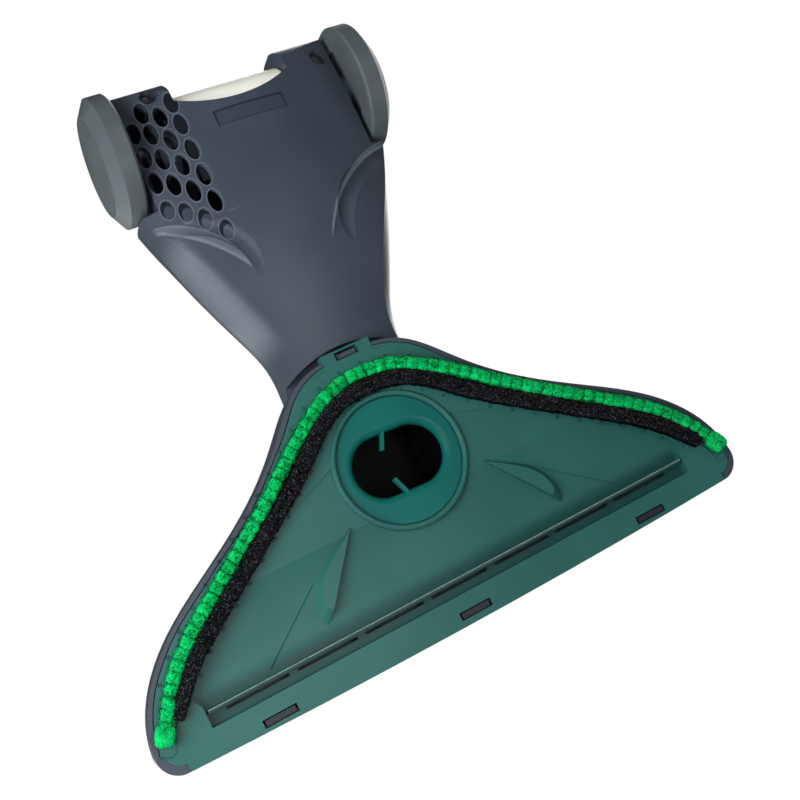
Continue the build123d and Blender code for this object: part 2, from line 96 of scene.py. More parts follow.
# one wrapped socket; arithmetic on it adds Math nodes
class Wire:
    def __init__(self, tree, socket=None):
        self.tree = tree
        self.socket = socket

    def node(self, kind, settings=None, inputs=None, output=0):
        made = self.tree.nodes.new(kind)
        for name, value in (settings or {}).items():
            setattr(made, name, value)
        for name, value in (inputs or {}).items():
            if isinstance(value, Wire):
                self.tree.links.new(value.socket, made.inputs[name])
            else:
                made.inputs[name].default_value = value
        return Wire(self.tree, made.outputs[output])

    def sums(self, operation, *values):
        return self.node("ShaderNodeMath", {"operation": operation}, dict(enumerate(values)))

    def __add__(self, other):
        return self.sums("ADD", self, other)

    def __radd__(self, other):
        return self.sums("ADD", other, self)

    def __sub__(self, other):
        return self.sums("SUBTRACT", self, other)

    def __rsub__(self, other):
        return self.sums("SUBTRACT", other, self)

    def __mul__(self, other):
        return self.sums("MULTIPLY", self, other)

    def __rmul__(self, other):
        return self.sums("MULTIPLY", other, self)

    def most(self, other):
        return self.sums("MAXIMUM", self, other)

    def least(self, other):
        return self.sums("MINIMUM", self, other)

    def size(self):
        return self.sums("ABSOLUTE", self)

    def between(self, low, high):
        # 0 below low, 1 above high, smooth between them
        return self.node("ShaderNodeMapRange", {"interpolation_type": "SMOOTHSTEP"},
                         {"Value": self, "From Min": low, "From Max": high})

    def blend(self, first, second):
        return self.node("ShaderNodeMix", {"data_type": "RGBA"}, {0: self, 6: first, 7: second}, 2)

    def axes(self):
        split = self.node("ShaderNodeSeparateXYZ", {}, {0: self}).socket.node
        return [Wire(self.tree, output) for output in split.outputs]

    def stretched(self, scale, turn=0.0):
        return self.node("ShaderNodeMapping", {}, {"Vector": self, "Rotation": (0, 0, turn), "Scale": scale})

    def seenFrom(self, place, unit, turn=0.0):
        # coordinates about a place, counted in units
        return self.node("ShaderNodeMapping", {"vector_type": "TEXTURE"},
                         {"Vector": self, "Location": place, "Rotation": (0, 0, turn), "Scale": unit})

    def noise(self, scale, detail, rough=0.5):
        return self.node("ShaderNodeTexNoise", {},
                         {"Vector": self, "Scale": scale, "Detail": detail, "Roughness": rough})


def tint(text):
    # written colour to the linear one that a socket takes, by the sRGB curve
    values = [int(text[i:i + 2], 16) / 255 for i in (1, 3, 5)]
    return tuple(v / 12.92 if v < 0.04045 else ((v + 0.055) / 1.055) ** 2.4 for v in values) + (1.0,)


def startMaterial(name):
    material = bpy.data.materials.new(name)
    material.use_nodes = True
    tree = material.node_tree
    tree.nodes.clear()
    ending = tree.nodes.new("ShaderNodeOutputMaterial")
    surface = tree.nodes.new("ShaderNodeBsdfPrincipled")
    tree.links.new(surface.outputs[0], ending.inputs[0])
    place = Wire(tree).node("ShaderNodeTexCoord", output="Object")
    return material, surface, place


def dress(surface, settings, colour, roughness, height, **fixed):
    # links what varies, and sets what is the same all over on the socket itself
    bump = height.node("ShaderNodeBump", {}, {"Height": height, "Distance": settings["depth"] * mm,
                                              "Strength": settings["strength"]})
    values = {"Base Color": colour, "Roughness": roughness, "Normal": bump, **fixed}
    for name, value in values.items():
        socket = surface.inputs[name.replace("_", " ")]
        if isinstance(value, Wire):
            surface.id_data.links.new(value.socket, socket)
        else:
            socket.default_value = value


def painted(colour, *layers):
    # each layer is a mask, its share where the mask is full, and a written colour
    for mask, share, paint in layers:
        colour = (mask * share).blend(colour, tint(paint))
    return colour


def aboutMiddle(value, amount):
    # a noise value, which lies about 0.5, as a small step up or down
    return (value - 0.5) * amount


def neckPlace(place):
    # millimetres on the neck, from object coordinates
    return place.seenFrom(swivel, (mm, mm, mm))


def wingPlace(place):
    # millimetres on the straight wing, from object coordinates
    return place.seenFrom(swivel, (mm, mm, mm), wingTurn)


def fromMiddle(spot, x, y, halfX=1.0, halfY=1.0):
    # distance on plan from a point, in shares of the two half widths
    flat = 1e6   # a unit of height so long that height counts for nothing
    off = spot.seenFrom((x, y, 0), (halfX, halfY, flat))
    return off.node("ShaderNodeVectorMath", {"operation": "LENGTH"}, {0: off}, "Value")


def lineMask(x, y, line):
    # 1 along a line from start to end, fading out beside it and round its ends
    start, end = Vector(line["start"]), Vector(line["end"])
    length, along = (end - start).length, (end - start).normalized()
    dx, dy = x - start.x, y - start.y
    across = (dx * along.y - dy * along.x).size()
    reach = dx * along.x + dy * along.y
    past, within = line["past"], line["within"]
    ends = reach.between(-past, within) * (1.0 - reach.between(length - within, length + past))
    return (1.0 - across.between(*line["width"])) * ends


# millimetres on the neck, but shares of a cell's half width for its sides and rim
# a pair named top, side or width is the two ends of a soft edge
neckSet = {
    # the plate's floor colour is painted shade in its recess
    "plate": {"middle": (-2.2, 157.8), "half": (15.4, 3.3), "top": (14.0, 15.0), "side": (-0.1, 0.1),
              "lineWidth": (0.15, 0.45), "floor": "#333a44", "floorShare": 0.75, "line": "#252a32",
              "lineShare": 0.8},
    # the colour named hole is painted shade in the cells and pockets, and their rims take a painted
    # highlight
    "cells": {"first": (45.3, 166.0), "pitch": (6.1, 11.9), "half": (2.75, 4.9), "lean": 0.49, "bow": 0.0231,
              "bend": (163.0, 0.85), "columns": 4, "rows": 3, "pocketRow": 3.05, "pocketHalf": 4.2,
              "lit": (-0.7, -1.9), "litSide": (0.8, 1.0), "side": (0.93, 1.0), "hole": "#080a0e",
              "holeShadeShare": 0.86, "rimAt": 1.05, "rimWidth": (0.02, 0.11), "rimHighlightShare": 0.34},
    # a painted highlight along the fold of the flank
    "paintedSheen": {"start": (50.0, 118.0), "end": (26.0, 60.0), "width": (0.5, 6.0), "past": 4.0, "within": 12.0,
              "share": 0.5},
    "scoops": [{"upper": (58.5, 90.1, 35.1), "lower": (92.8, 51.1, 81.8), "tip": 92.0, "shade": 0.0},
               {"upper": (-69.4, 70.4, 62.4), "lower": (-67.6, 68.9, 61.0), "tip": 94.0, "shade": 0.6}],
    # shares of the painted highlight lines, the painted light on the floor and the painted shadow below
    "scoopEdge": {"tipFade": 5.0, "top": (17.0, 22.0), "side": (-0.2, 0.2), "edgeWidth": (0.1, 0.45),
                  "foldAt": 0.5, "foldWidth": (0.2, 1.0), "floor": (0.0, 0.3), "shadeRise": (-6.0, -0.6),
                  "shadeFall": (-0.5, 0.0), "shadeSide": (0.0, 0.4), "shadeShare": 0.8, "floorShare": 0.25,
                  "lineShare": 0.45},
    # colours of the painted highlights and the painted shadow
    "paintedHighlight": "#737b84", "paintedShadow": "#262c34",
}


def plateMasks(spot, plate):
    # the recessed plate's floor, darkened as painted shade, and a dark line round it
    x, y, z = spot.axes()
    beyondX = (x - plate["middle"][0]).size() - plate["half"][0]
    beyondY = (y - plate["middle"][1]).size() - plate["half"][1]
    beyond = beyondX.most(beyondY)
    below = 1.0 - z.between(*plate["top"])
    floor = 1.0 - beyond.between(*plate["side"])
    line = 1.0 - beyond.size().between(*plate["lineWidth"])
    return floor * below, line * below


def cellMasks(spot, cells):
    # a painted highlight along the rounded edges of all vent cells and pockets, and painted shade inside
    # them that leaves a lit patch on each pocket's floor
    holes, pockets, floors = [], [], []
    for column in range(cells["columns"]):
        reach = column * cells["pitch"][0]
        drop = cells["lean"] * reach + cells["bow"] * reach ** 2
        x = cells["first"][0] - reach
        for row in [*range(-((column + 1) // 2), cells["rows"]), cells["pocketRow"]]:
            y = cells["first"][1] - drop - row * cells["pitch"][1]
            y -= (1 - cells["bend"][1]) * max(y - cells["bend"][0], 0)
            if row == cells["pocketRow"]:
                half = cells["half"][0], cells["pocketHalf"]
                pockets.append(fromMiddle(spot, x, y, *half))
                floors.append(fromMiddle(spot, x + cells["lit"][0], y + cells["lit"][1], *half))
            else:
                holes.append(fromMiddle(spot, x, y, *cells["half"]))
    hole, pocket, floor = [reduce(Wire.least, away) for away in (holes, pockets, floors)]
    rimHighlights = 1.0 - (hole.least(pocket) - cells["rimAt"]).size().between(*cells["rimWidth"])
    holeShade, pocketShade = [1.0 - away.between(*cells["side"]) for away in (hole, pocket)]
    return rimHighlights, holeShade.most(pocketShade * floor.between(*cells["litSide"]))


def scoopMasks(spot, scoop, edges):
    # painted highlight lines along both edges of a crescent, painted light on its floor, and the painted
    # shadow below it
    y, z = spot.axes()[1:]
    inside = scoop["upper"][2] - fromMiddle(spot, *scoop["upper"][:2])
    outside = fromMiddle(spot, *scoop["lower"][:2]) - scoop["lower"][2]
    reach = y.between(scoop["tip"], scoop["tip"] + edges["tipFade"]) * (1.0 - z.between(*edges["top"]))
    edge = (1.0 - inside.size().between(*edges["edgeWidth"])) * outside.between(*edges["side"])
    folded = (outside - edges["foldAt"]).size().between(*edges["foldWidth"])
    foldHighlight = (1.0 - folded) * inside.between(*edges["side"])
    floor = inside.between(*edges["floor"]) * outside.between(*edges["floor"])
    shade = outside.between(*edges["shadeRise"]) * (1.0 - outside.between(*edges["shadeFall"]))
    shade = shade * inside.between(*edges["shadeSide"])
    return edge.most(foldHighlight) * reach, floor * reach, shade * reach * scoop["shade"]


def neckPaintedShadeAndLight(colour, place):
    # what the neck's lower half shows over its plain slate: painted shade on the plate's floor and in the
    # cells, a dark line round the plate, painted highlights on the cell rims, along the flank and on the
    # crescents, and painted shadow below a crescent
    spot = neckPlace(place)
    plate, cells, paintedSheen, edges = [neckSet[name] for name in ("plate", "cells", "paintedSheen", "scoopEdge")]
    floor, line = plateMasks(spot, plate)
    rimHighlights, inside = cellMasks(spot, cells)
    x, y = spot.axes()[:2]
    colour = painted(colour, (floor, plate["floorShare"], plate["floor"]),
                     (line, plate["lineShare"], plate["line"]),
                     (rimHighlights, cells["rimHighlightShare"], neckSet["paintedHighlight"]),
                     (inside, cells["holeShadeShare"], cells["hole"]),
                     (lineMask(x, y, paintedSheen), paintedSheen["share"], neckSet["paintedHighlight"]))
    for scoop in neckSet["scoops"]:
        line, floor, shade = scoopMasks(spot, scoop, edges)
        colour = painted(colour, (shade, edges["shadeShare"], neckSet["paintedShadow"]),
                         (floor, edges["floorShare"], neckSet["paintedHighlight"]),
                         (line, edges["lineShare"], neckSet["paintedHighlight"]))
    return colour


# the colour is painted shade on the clip hooks
hookSet = {"pitch": 87.0, "half": 7.3, "y": -66.4, "wide": 1.7, "soft": 0.2, "top": (9.0, 9.5),
           "colour": "#12151a", "share": 0.75}


def wingHookShade(colour, place):
    # the clip hooks stand in the shade of their windows
    x, y, z = wingPlace(place).axes()
    half, wide, soft = hookSet["half"], hookSet["wide"], hookSet["soft"]
    middle = (x.size() - hookSet["pitch"]).size().least(x.size())
    along = 1.0 - middle.between(half, half + soft)
    across = 1.0 - (y - hookSet["y"]).size().between(wide, wide + soft)
    hooks = along * across * (1.0 - z.between(*hookSet["top"]))
    return painted(colour, (hooks, hookSet["share"], hookSet["colour"]))


slateSet = {
    "colour": "#3b434e", "deep": "#353c46", "mottle": (0.3, 0.72), "cloud": {"scale": 26.0, "detail": 3.0},
    "grain": {"scale": 2600.0, "detail": 2.0, "rough": 0.6}, "depth": 0.06, "strength": 0.35,
    "scuff": "#727984", "scuffShare": 0.45, "scuffStretch": (30.0, 900.0, 300.0), "scuffTurn": 0.6,
    "scuffLines": {"scale": 1.0, "detail": 2.0, "rough": 0.4}, "scuffWidth": (0.7, 0.78),
    "patch": {"scale": 55.0, "detail": 2.0}, "patchSide": (0.56, 0.68),
    "rough": 0.38, "cloudRough": 0.12, "grainRough": 0.08, "index": 1.48,
}


def slatePlastic(name, settings, paintedLight=None):
    material, surface, place = startMaterial(name)
    cloud = place.noise(**settings["cloud"])
    grain = place.noise(**settings["grain"])
    lines = place.stretched(settings["scuffStretch"], settings["scuffTurn"]).noise(**settings["scuffLines"])
    patch = place.noise(**settings["patch"])
    scuff = lines.between(*settings["scuffWidth"]) * patch.between(*settings["patchSide"])
    colour = cloud.between(*settings["mottle"]).blend(tint(settings["deep"]), tint(settings["colour"]))
    colour = painted(colour, (scuff, settings["scuffShare"], settings["scuff"]))
    if paintedLight:
        colour = paintedLight(colour, place)
    rough = settings["rough"] + aboutMiddle(cloud, settings["cloudRough"])
    rough = rough + aboutMiddle(grain, settings["grainRough"])
    dress(surface, settings, colour, rough, grain, IOR=settings["index"])
    return material


tealSet = {
    "cloud": {"scale": 22.0, "detail": 2.0}, "mottle": (0.28, 0.74),
    "grain": {"scale": 3200.0, "detail": 2.0, "rough": 0.55}, "grainHeight": 0.04, "grainRough": 0.06,
    "smear": {"scale": 1.0, "detail": 3.0}, "smearStretch": (18.0, 160.0, 60.0), "smearTurn": -0.5,
    "smearRough": 0.14, "depth": 0.4, "strength": 0.8,
}
soleSet = dict(
    tealSet, colour="#285b55", deep="#23534e", rough=0.34, shine=0.34,
    crease={"start": (53.6, -28.7), "end": (81.7, -49.3), "width": (0.0, 0.4), "past": 1.0, "within": 1.0},
    trough={"half": 111.4, "endSoft": 1.0, "front": -58.5, "frontSoft": 0.2, "rear": -50.2, "rearFade": 6.0,
            "shade": "#0e3531", "share": 0.75},
)
discSet = dict(tealSet, colour="#0e5b56", deep="#0b524d", rough=0.3, shine=0.24)


def troughShade(place, trough):
    # full in the trough, fading out up its rear slope
    x, y = wingPlace(place).axes()[:2]
    rear = 1.0 - y.between(trough["rear"], trough["rear"] + trough["rearFade"])
    front = y.between(trough["front"] - trough["frontSoft"], trough["front"] + trough["frontSoft"])
    ends = 1.0 - x.size().between(trough["half"] - trough["endSoft"], trough["half"] + trough["endSoft"])
    return rear * front * ends


def tealPlastic(name, settings):
    material, surface, place = startMaterial(name)
    cloud = place.noise(**settings["cloud"])
    grain = place.noise(**settings["grain"])
    smear = place.stretched(settings["smearStretch"], settings["smearTurn"]).noise(**settings["smear"])
    colour = cloud.between(*settings["mottle"]).blend(tint(settings["deep"]), tint(settings["colour"]))
    rough = settings["rough"] + aboutMiddle(smear, settings["smearRough"])
    rough = rough + aboutMiddle(grain, settings["grainRough"])
    height = grain * settings["grainHeight"]
    if "trough" in settings:
        trough = settings["trough"]
        colour = painted(colour, (troughShade(place, trough), trough["share"], trough["shade"]))
    if "crease" in settings:
        # one on each half of the wing
        x, y = wingPlace(place).axes()[:2]
        height = height - lineMask(x.size(), y, settings["crease"])
    dress(surface, settings, colour, rough, height, Specular_IOR_Level=settings["shine"])
    return material


rubberSet = {"cloud": {"scale": 60.0, "detail": 3.0}, "mottle": (0.35, 0.75),
             "grain": {"scale": 1500.0, "detail": 3.0, "rough": 0.65}, "grainRough": 0.15,
             "depth": 0.1, "strength": 0.4}


def softRubber(name, colour, worn, rough):
    material, surface, place = startMaterial(name)
    cloud = place.noise(**rubberSet["cloud"])
    grain = place.noise(**rubberSet["grain"])
    shade = cloud.between(*rubberSet["mottle"]).blend(tint(colour), tint(worn))
    dress(surface, rubberSet, shade, rough + aboutMiddle(grain, rubberSet["grainRough"]), grain)
    return material


# edge is the colour of a painted highlight along the lip's edge
lipSet = dict(rubberSet, colour="#1f3f3a", edge="#7d938e", edgeHighlightAt=(-52.45, -52.15), ragged=(0.2, 0.6),
              rough=0.5)


def lipRubber(name, settings):
    material, surface, place = startMaterial(name)
    y = wingPlace(place).axes()[1]
    grain = place.noise(**settings["grain"])
    # a painted highlight along the lip's edge, broken up by the grain
    edge = y.between(*settings["edgeHighlightAt"]) * grain.between(*settings["ragged"])
    shade = edge.blend(tint(settings["colour"]), tint(settings["edge"]))
    dress(surface, settings, shade, settings["rough"] + aboutMiddle(grain, settings["grainRough"]), grain)
    return material


mouldSet = {"cloud": {"scale": 45.0, "detail": 2.0}, "mottle": (0.3, 0.7), "cloudRough": 0.1,
            "grain": {"scale": 2200.0, "detail": 2.0, "rough": 0.6}, "depth": 0.05, "strength": 0.3}


def moulded(name, colour, deep, rough):
    material, surface, place = startMaterial(name)
    cloud = place.noise(**mouldSet["cloud"])
    grain = place.noise(**mouldSet["grain"])
    shade = cloud.between(*mouldSet["mottle"]).blend(tint(deep), tint(colour))
    dress(surface, mouldSet, shade, rough + aboutMiddle(cloud, mouldSet["cloudRough"]), grain)
    return material


steelSet = {"dull": "#8d8f8f", "bright": "#b4b5b2", "stretch": (3000.0, 300.0, 300.0), "mottle": (0.3, 0.7),
            "brushed": {"scale": 1.0, "detail": 2.0}, "rough": 0.3, "brushedRough": 0.2,
            "depth": 0.03, "strength": 0.3}


def zincSteel(name, settings):
    material, surface, place = startMaterial(name)
    brushed = place.stretched(settings["stretch"]).noise(**settings["brushed"])
    shade = brushed.between(*settings["mottle"]).blend(tint(settings["dull"]), tint(settings["bright"]))
    rough = settings["rough"] + aboutMiddle(brushed, settings["brushedRough"])
    dress(surface, settings, shade, rough, brushed, Metallic=1.0)
    return material


# rise gives the shares of the height between which the colour turns into painted shade at the roots
fluffSet = {
    "fluff": {"scale": 1400.0, "detail": 3.0, "rough": 0.7}, "fluffShare": 0.65,
    "lump": {"scale": 330.0, "detail": 2.0}, "lumpShare": 0.35, "mixed": (0.36, 0.62),
    "flecked": {"scale": 1700.0, "detail": 1.0}, "fleckSide": (0.58, 0.68), "rise": (0.15, 0.95),
    "rough": 0.9, "shine": 0.12, "depth": 0.6, "strength": 0.8,
}
greenFluff = dict(fluffSet, tip="#0ac264", mid="#058846", rootShade="#02401d", fleck="#04662f", fleckShare=0.7,
                  height=6.0)
blackFluff = dict(fluffSet, tip="#131417", mid="#08090b", rootShade="#030304", fleck="#5d5e63", fleckShare=0.55,
                  height=5.2)


def pileFibre(name, settings):
    material, surface, place = startMaterial(name)
    z = place.axes()[2]
    fluff = place.noise(**settings["fluff"])
    lump = place.noise(**settings["lump"])
    rise = z.between(*[share * settings["height"] * mm for share in settings["rise"]])
    mixed = (fluff * settings["fluffShare"] + lump * settings["lumpShare"]).between(*settings["mixed"])
    fleck = place.noise(**settings["flecked"]).between(*settings["fleckSide"])
    colour = mixed.blend(tint(settings["mid"]), tint(settings["tip"]))
    colour = painted(colour, (fleck, settings["fleckShare"], settings["fleck"]))
    # painted shade, darker towards the roots of the pile
    colour = rise.blend(colour, tint(settings["rootShade"]))
    dress(surface, settings, colour, settings["rough"], fluff, Specular_IOR_Level=settings["shine"])
    return material


finishes = {
    "slate": slatePlastic("slatePlastic", slateSet),
    "neck": slatePlastic("neckPlastic", slateSet, neckPaintedShadeAndLight),
    "wing": slatePlastic("wingPlastic", slateSet, wingHookShade),
    "sole": tealPlastic("soleTeal", soleSet),
    "disc": tealPlastic("discTeal", discSet),
    "duct": moulded("ductBlack", "#05070a", "#030406", rough=0.8),
    "seal": softRubber("sealRubber", "#17181a", "#222326", rough=0.6),
    "lip": lipRubber("lipRubber", lipSet),
    "gap": moulded("gapShadow", "#0b0e11", "#07090b", rough=0.7),
    "wheel": softRubber("wheelTread", "#495154", "#50585b", rough=0.55),
    "rim": moulded("wheelPlastic", "#4e5659", "#485053", rough=0.45),
    "cream": moulded("creamPlastic", "#fffef4", "#f9f8ea", rough=0.32),
    "bush": moulded("bushPlastic", "#26282c", "#1d1f23", rough=0.45),
    "steel": zincSteel("zincSteel", steelSet),
    "stitch": moulded("stitchThread", "#17443f", "#0e332f", rough=0.5),
    "green": pileFibre("greenPile", greenFluff),
    "black": pileFibre("blackPile", blackFluff),
}
nodeFinish = {
    "neck_base": "neck", "neck_cover": "slate", "wing_cover": "wing", "sole_plate": "sole",
    "mouth_plate": "disc", "suction_duct": "duct", "spigot_seal": "seal", "duct_seal": "seal",
    "socket_seal": "seal", "wiper_lip": "lip", "neck_screws": "steel", "connector_barrel": "cream",
    "socket_tube": "cream", "green_pile_strip": "green", "black_pile_strip": "black",
}
for side in ("left_", "right_"):
    nodeFinish.update({side + "wheel_tyre": "wheel", side + "wheel_rim": "rim", side + "hub_cap": "rim",
                       side + "axle_pin": "steel", side + "axle_clip": "steel", side + "pivot_bush": "bush"})
for name, node in nodes.items():
    node.data.materials.clear()
    node.data.materials.append(finishes[nodeFinish[name]])
print("finishes on", len(nodeFinish), "nodes")


def pickOnly(piece):
    bpy.ops.object.select_all(action="DESELECT")
    piece.select_set(True)
    bpy.context.view_layer.objects.active = piece


def finishPiece(piece, name, material, body):
    # its place goes into the mesh, and it rides with its body
    pickOnly(piece)
    bpy.ops.object.transform_apply(location=True, rotation=True, scale=True)
    piece.name = name
    piece.data.name = name
    piece.data.materials.clear()
    piece.data.materials.append(material)
    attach(piece, body)
    return piece


def changed(piece, kind, **settings):
    # one modifier, set and applied
    pickOnly(piece)
    change = piece.modifiers.new(kind.lower(), kind)
    for name, value in settings.items():
        setattr(change, name, value)
    bpy.ops.object.modifier_apply(modifier=change.name)


def inRow(piece, count, step):
    changed(piece, "ARRAY", count=count, use_relative_offset=False, use_constant_offset=True,
            constant_offset_displace=(step, 0, 0))


def alongRoute(piece, route):
    changed(piece, "CURVE", object=route, deform_axis="POS_X")


def ruffled(piece, name, scale, strength):
    clouds = bpy.data.textures.new(name, "CLOUDS")
    clouds.noise_scale = scale * mm
    clouds.noise_depth = 1
    changed(piece, "DISPLACE", texture=clouds, texture_coords="LOCAL", strength=strength * mm, mid_level=0.5)


def joined(pieces):
    pickOnly(pieces[0])
    for piece in pieces:
        piece.select_set(True)
    bpy.ops.object.join()
    return pieces[0]


def addBlock(size, at, cuts=0, rounds=0, puff=0.0):
    bpy.ops.object.select_all(action="DESELECT")
    bpy.ops.mesh.primitive_cube_add(size=1.0, location=at)
    piece = bpy.context.active_object
    piece.scale = size
    bpy.ops.object.transform_apply(location=True, rotation=True, scale=True)
    if cuts:
        bpy.ops.object.mode_set(mode="EDIT")
        bpy.ops.mesh.select_all(action="SELECT")
        bpy.ops.mesh.subdivide(number_cuts=cuts)
        if puff:
            bpy.ops.transform.tosphere(value=puff)
        bpy.ops.object.mode_set(mode="OBJECT")
    if rounds:
        changed(piece, "SUBSURF", levels=rounds, render_levels=rounds)
    return piece


def newCurve(name, dimensions, resolution):
    data = bpy.data.curves.new(name, "CURVE")
    data.dimensions = dimensions
    data.resolution_u = resolution
    return data


def addSmooth(data, places):
    # a smooth line drawn towards the places, from the first to the last
    spline = data.splines.new("NURBS")
    spline.points.add(len(places) - 1)
    for point, place in zip(spline.points, places):
        point.co = (*place, 1.0)
    spline.order_u = 3
    spline.use_endpoint_u = True


def bothHalves(line):
    # the line of one half of the wing, with its mirror image before it
    return [(-x, y) for x, y in reversed(line[1:])] + line


def routeLength(route):
    mesh = bpy.data.meshes.new_from_object(route)
    points = [v.co for v in mesh.vertices]
    length = sum((b - a).length for a, b in zip(points, points[1:]))
    bpy.data.meshes.remove(mesh)
    return length


routeSteps = 24   # between two points of a strip's or rim's route
fibreSet = {"count": 900, "run": 6, "sides": 3, "tip": 0.02, "around": 1.9, "lean": 0.7, "sway": 0.6,
            "shares": (0.5, 1.3), "inset": 0.96, "lift": 0.2, "coreRadius": 0.1, "coreLength": 0.5}
stitchSet = {"start": 5.0, "spare": 8.0, "pitch": 9.8, "height": 5.95, "radius": 0.62, "thread": 0.16,
             "around": 10, "sides": 4}
greenSet = {
    "line": [(0, 39.2), (16, 37), (37, 24.2), (54.2, 10.1), (89.2, -13.3), (106, -24.3), (118.5, -36),
             (128.4, -51), (130.6, -56)],
    "inward": 0.7, "width": 4.7, "bottom": 0.6, "top": 6.3, "pitch": 4.5, "fill": 1.03, "puff": 0.3,
    "fibreLength": 1.3, "fibreRadius": 0.15, "swell": (5.5, 1.3), "lump": (1.6, 0.8), "stitchAt": 3.4,
    "sealed": {"length": 8.0, "wide": 1.55, "puff": 0.25},
}
blackSet = {
    "line": [(0, 32.3), (12, 31.4), (24.5, 25.6), (41.6, 10.6), (78, -13.2), (96.5, -25.3), (106.3, -32.5),
             (116.2, -42), (121.6, -48.6)],
    "inward": 0.2, "width": 6.2, "bottom": 1.4, "top": 6.3, "pitch": 5.0, "fill": 1.4, "puff": 0.0,
    "fibreLength": 1.2, "fibreRadius": 0.13, "swell": (5.5, 0.9), "lump": (1.6, 0.8), "stitchAt": -4.6,
}


def looseFibres(settings, strip, pitch, aside, middle, half, deep):
    # over one run of tufts, standing out of their sides and tips
    bpy.ops.object.select_all(action="DESELECT")
    bpy.ops.mesh.primitive_cone_add(vertices=settings["sides"], radius1=settings["coreRadius"] * mm,
                                    depth=settings["coreLength"] * mm, location=(0, aside, middle))
    fluff = bpy.context.active_object
    bpy.ops.object.mode_set(mode="EDIT")
    for fibre in range(settings["count"]):
        around = rng.uniform(-settings["around"], settings["around"])
        lean = around + rng.uniform(-settings["lean"], settings["lean"])
        reach = strip["fibreLength"] * mm * rng.uniform(*settings["shares"])
        at = Vector((rng.uniform(0, settings["run"]) * pitch,
                     aside + math.sin(around) * half * settings["inset"],
                     middle - math.cos(around) * deep * settings["inset"]))
        sway = rng.uniform(-settings["sway"], settings["sway"])
        out = Vector((sway, math.sin(lean), -math.cos(lean))).normalized()
        bpy.ops.mesh.primitive_cone_add(vertices=settings["sides"], radius1=strip["fibreRadius"] * mm,
                                        radius2=settings["tip"] * mm, depth=reach, end_fill_type="NOTHING",
                                        location=at + out * reach * settings["lift"],
                                        rotation=out.to_track_quat("Z", "Y").to_euler())
    bpy.ops.object.mode_set(mode="OBJECT")
    return fluff


def hookedStitches(name, settings, aside, route, length):
    # small hooked stitches beside the strip
    bpy.ops.object.select_all(action="DESELECT")
    bpy.ops.mesh.primitive_torus_add(
        major_segments=settings["around"], minor_segments=settings["sides"],
        major_radius=settings["radius"] * mm, minor_radius=settings["thread"] * mm,
        location=(settings["start"] * mm, aside * mm, settings["height"] * mm))
    hooks = bpy.context.active_object
    bpy.ops.object.transform_apply(location=True, rotation=True, scale=True)
    inRow(hooks, int((length / mm - settings["spare"]) / settings["pitch"]), settings["pitch"] * mm)
    alongRoute(hooks, route)
    finishPiece(hooks, name, finishes["stitch"], "wing")


def pileStrip(name, settings, material, node):
    # made straight, then laid along its route from one tip round the rear to the other
    data = newCurve(name + "Route", "2D", routeSteps)
    addSmooth(data, [onWing(x, y) for x, y in bothHalves(settings["line"])])
    route = addObject(name + "Route", data)
    length = routeLength(route)
    count = int(length / (settings["pitch"] * mm))
    pitch = length / count
    low, high = settings["bottom"] * mm, settings["top"] * mm
    middle, half, aside = (low + high) / 2, settings["width"] * mm / 2, -settings["inward"] * mm
    # one tuft, rounded by subdivision, and the row of them
    strip = addBlock((pitch * settings["fill"], half * 2, high - low), (pitch / 2, aside, middle),
                     cuts=2, rounds=1, puff=settings["puff"])
    inRow(strip, count, pitch)
    ruffled(strip, name + "Swell", *settings["swell"])
    fluff = looseFibres(fibreSet, settings, pitch, aside, middle, half, middle - low)
    inRow(fluff, max(1, count // fibreSet["run"]), pitch * fibreSet["run"])
    strip = joined([strip, fluff])
    ruffled(strip, name + "Lumps", *settings["lump"])
    if "sealed" in settings:
        # the ends are melted smooth
        sealed = settings["sealed"]
        run = sealed["length"] * mm
        size = (run, half * 2 * sealed["wide"], high - low)
        ends = [addBlock(size, (at, aside, middle), cuts=2, rounds=1, puff=sealed["puff"])
                for at in (run / 2, length - run / 2)]
        strip = joined([strip] + ends)
    alongRoute(strip, route)
    piece = finishPiece(strip, name, material, "wing")
    bpy.ops.object.shade_smooth()
    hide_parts(node)
    hookedStitches(name + "Stitches", stitchSet, settings["stitchAt"], route, length)
    bpy.data.objects.remove(route)
    print(name, "with", count, "tufts,", len(piece.data.polygons), "faces")


pileStrip("greenPile", greenSet, finishes["green"], "green_pile_strip")
pileStrip("blackPile", blackSet, finishes["black"], "black_pile_strip")


marginSet = {
    "line": [(0, 48.5), (22, 45.3), (42.7, 26.9), (65, 8.0), (89.2, -6.9), (116.2, -25.3), (130.4, -43.5),
             (134.6, -58)],
    "parts": 160,
    "bands": {
        "soleMargin": {"from": -3.4, "to": -2.15, "low": 6.1, "high": 6.6, "finish": "sole",
                       "slot": "sole_teal"},
        # a near-black band standing for the painted shadow in the gap
        "rimGapShadow": {"from": -2.15, "to": -1.75, "low": 6.42, "high": 6.6, "finish": "gap",
                   "slot": "slate_plastic"},
    },
}


